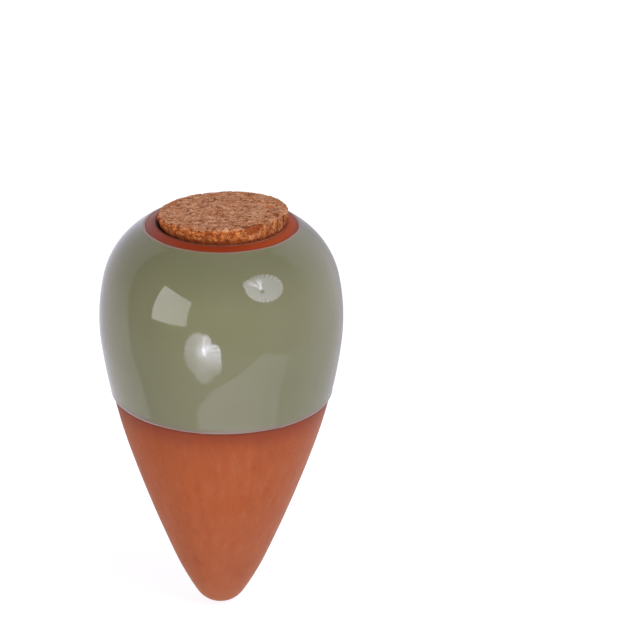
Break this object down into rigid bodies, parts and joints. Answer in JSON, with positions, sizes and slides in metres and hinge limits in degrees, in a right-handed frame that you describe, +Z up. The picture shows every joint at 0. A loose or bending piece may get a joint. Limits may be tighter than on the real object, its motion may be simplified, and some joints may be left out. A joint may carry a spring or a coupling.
{
  "type": "self watering plant spike",
  "caption": "Hollow terracotta plant watering spike with a pointed porous tip, a glazed belly and a tapered cork stopper in its mouth.",
  "frame": {"origin": "on the vessel's axis at the soil line, the lower edge of the glaze", "axes": "+Z up along the vessel's axis, from the point towards the mouth and its stopper; X and Y are free, because the part is round"},
  "size_m": [0.0702, 0.0702, 0.124],
  "materials": {
    "terracotta": "matte unglazed clay",
    "green_glaze": "glossy sage green glaze",
    "cork": "agglomerated cork"
  },
  "bodies": {
    "vessel": {"clay_body": "terracotta", "glaze_coat": "green_glaze"},
    "stopper": {"cork_stopper": "cork"}
  },
  "joints": [
    {"name": "stopper_lift", "type": "slide", "parent": "vessel", "child": "stopper", "axis": [0, 0, 1], "range_m": [0, 0.04]}
  ]
}
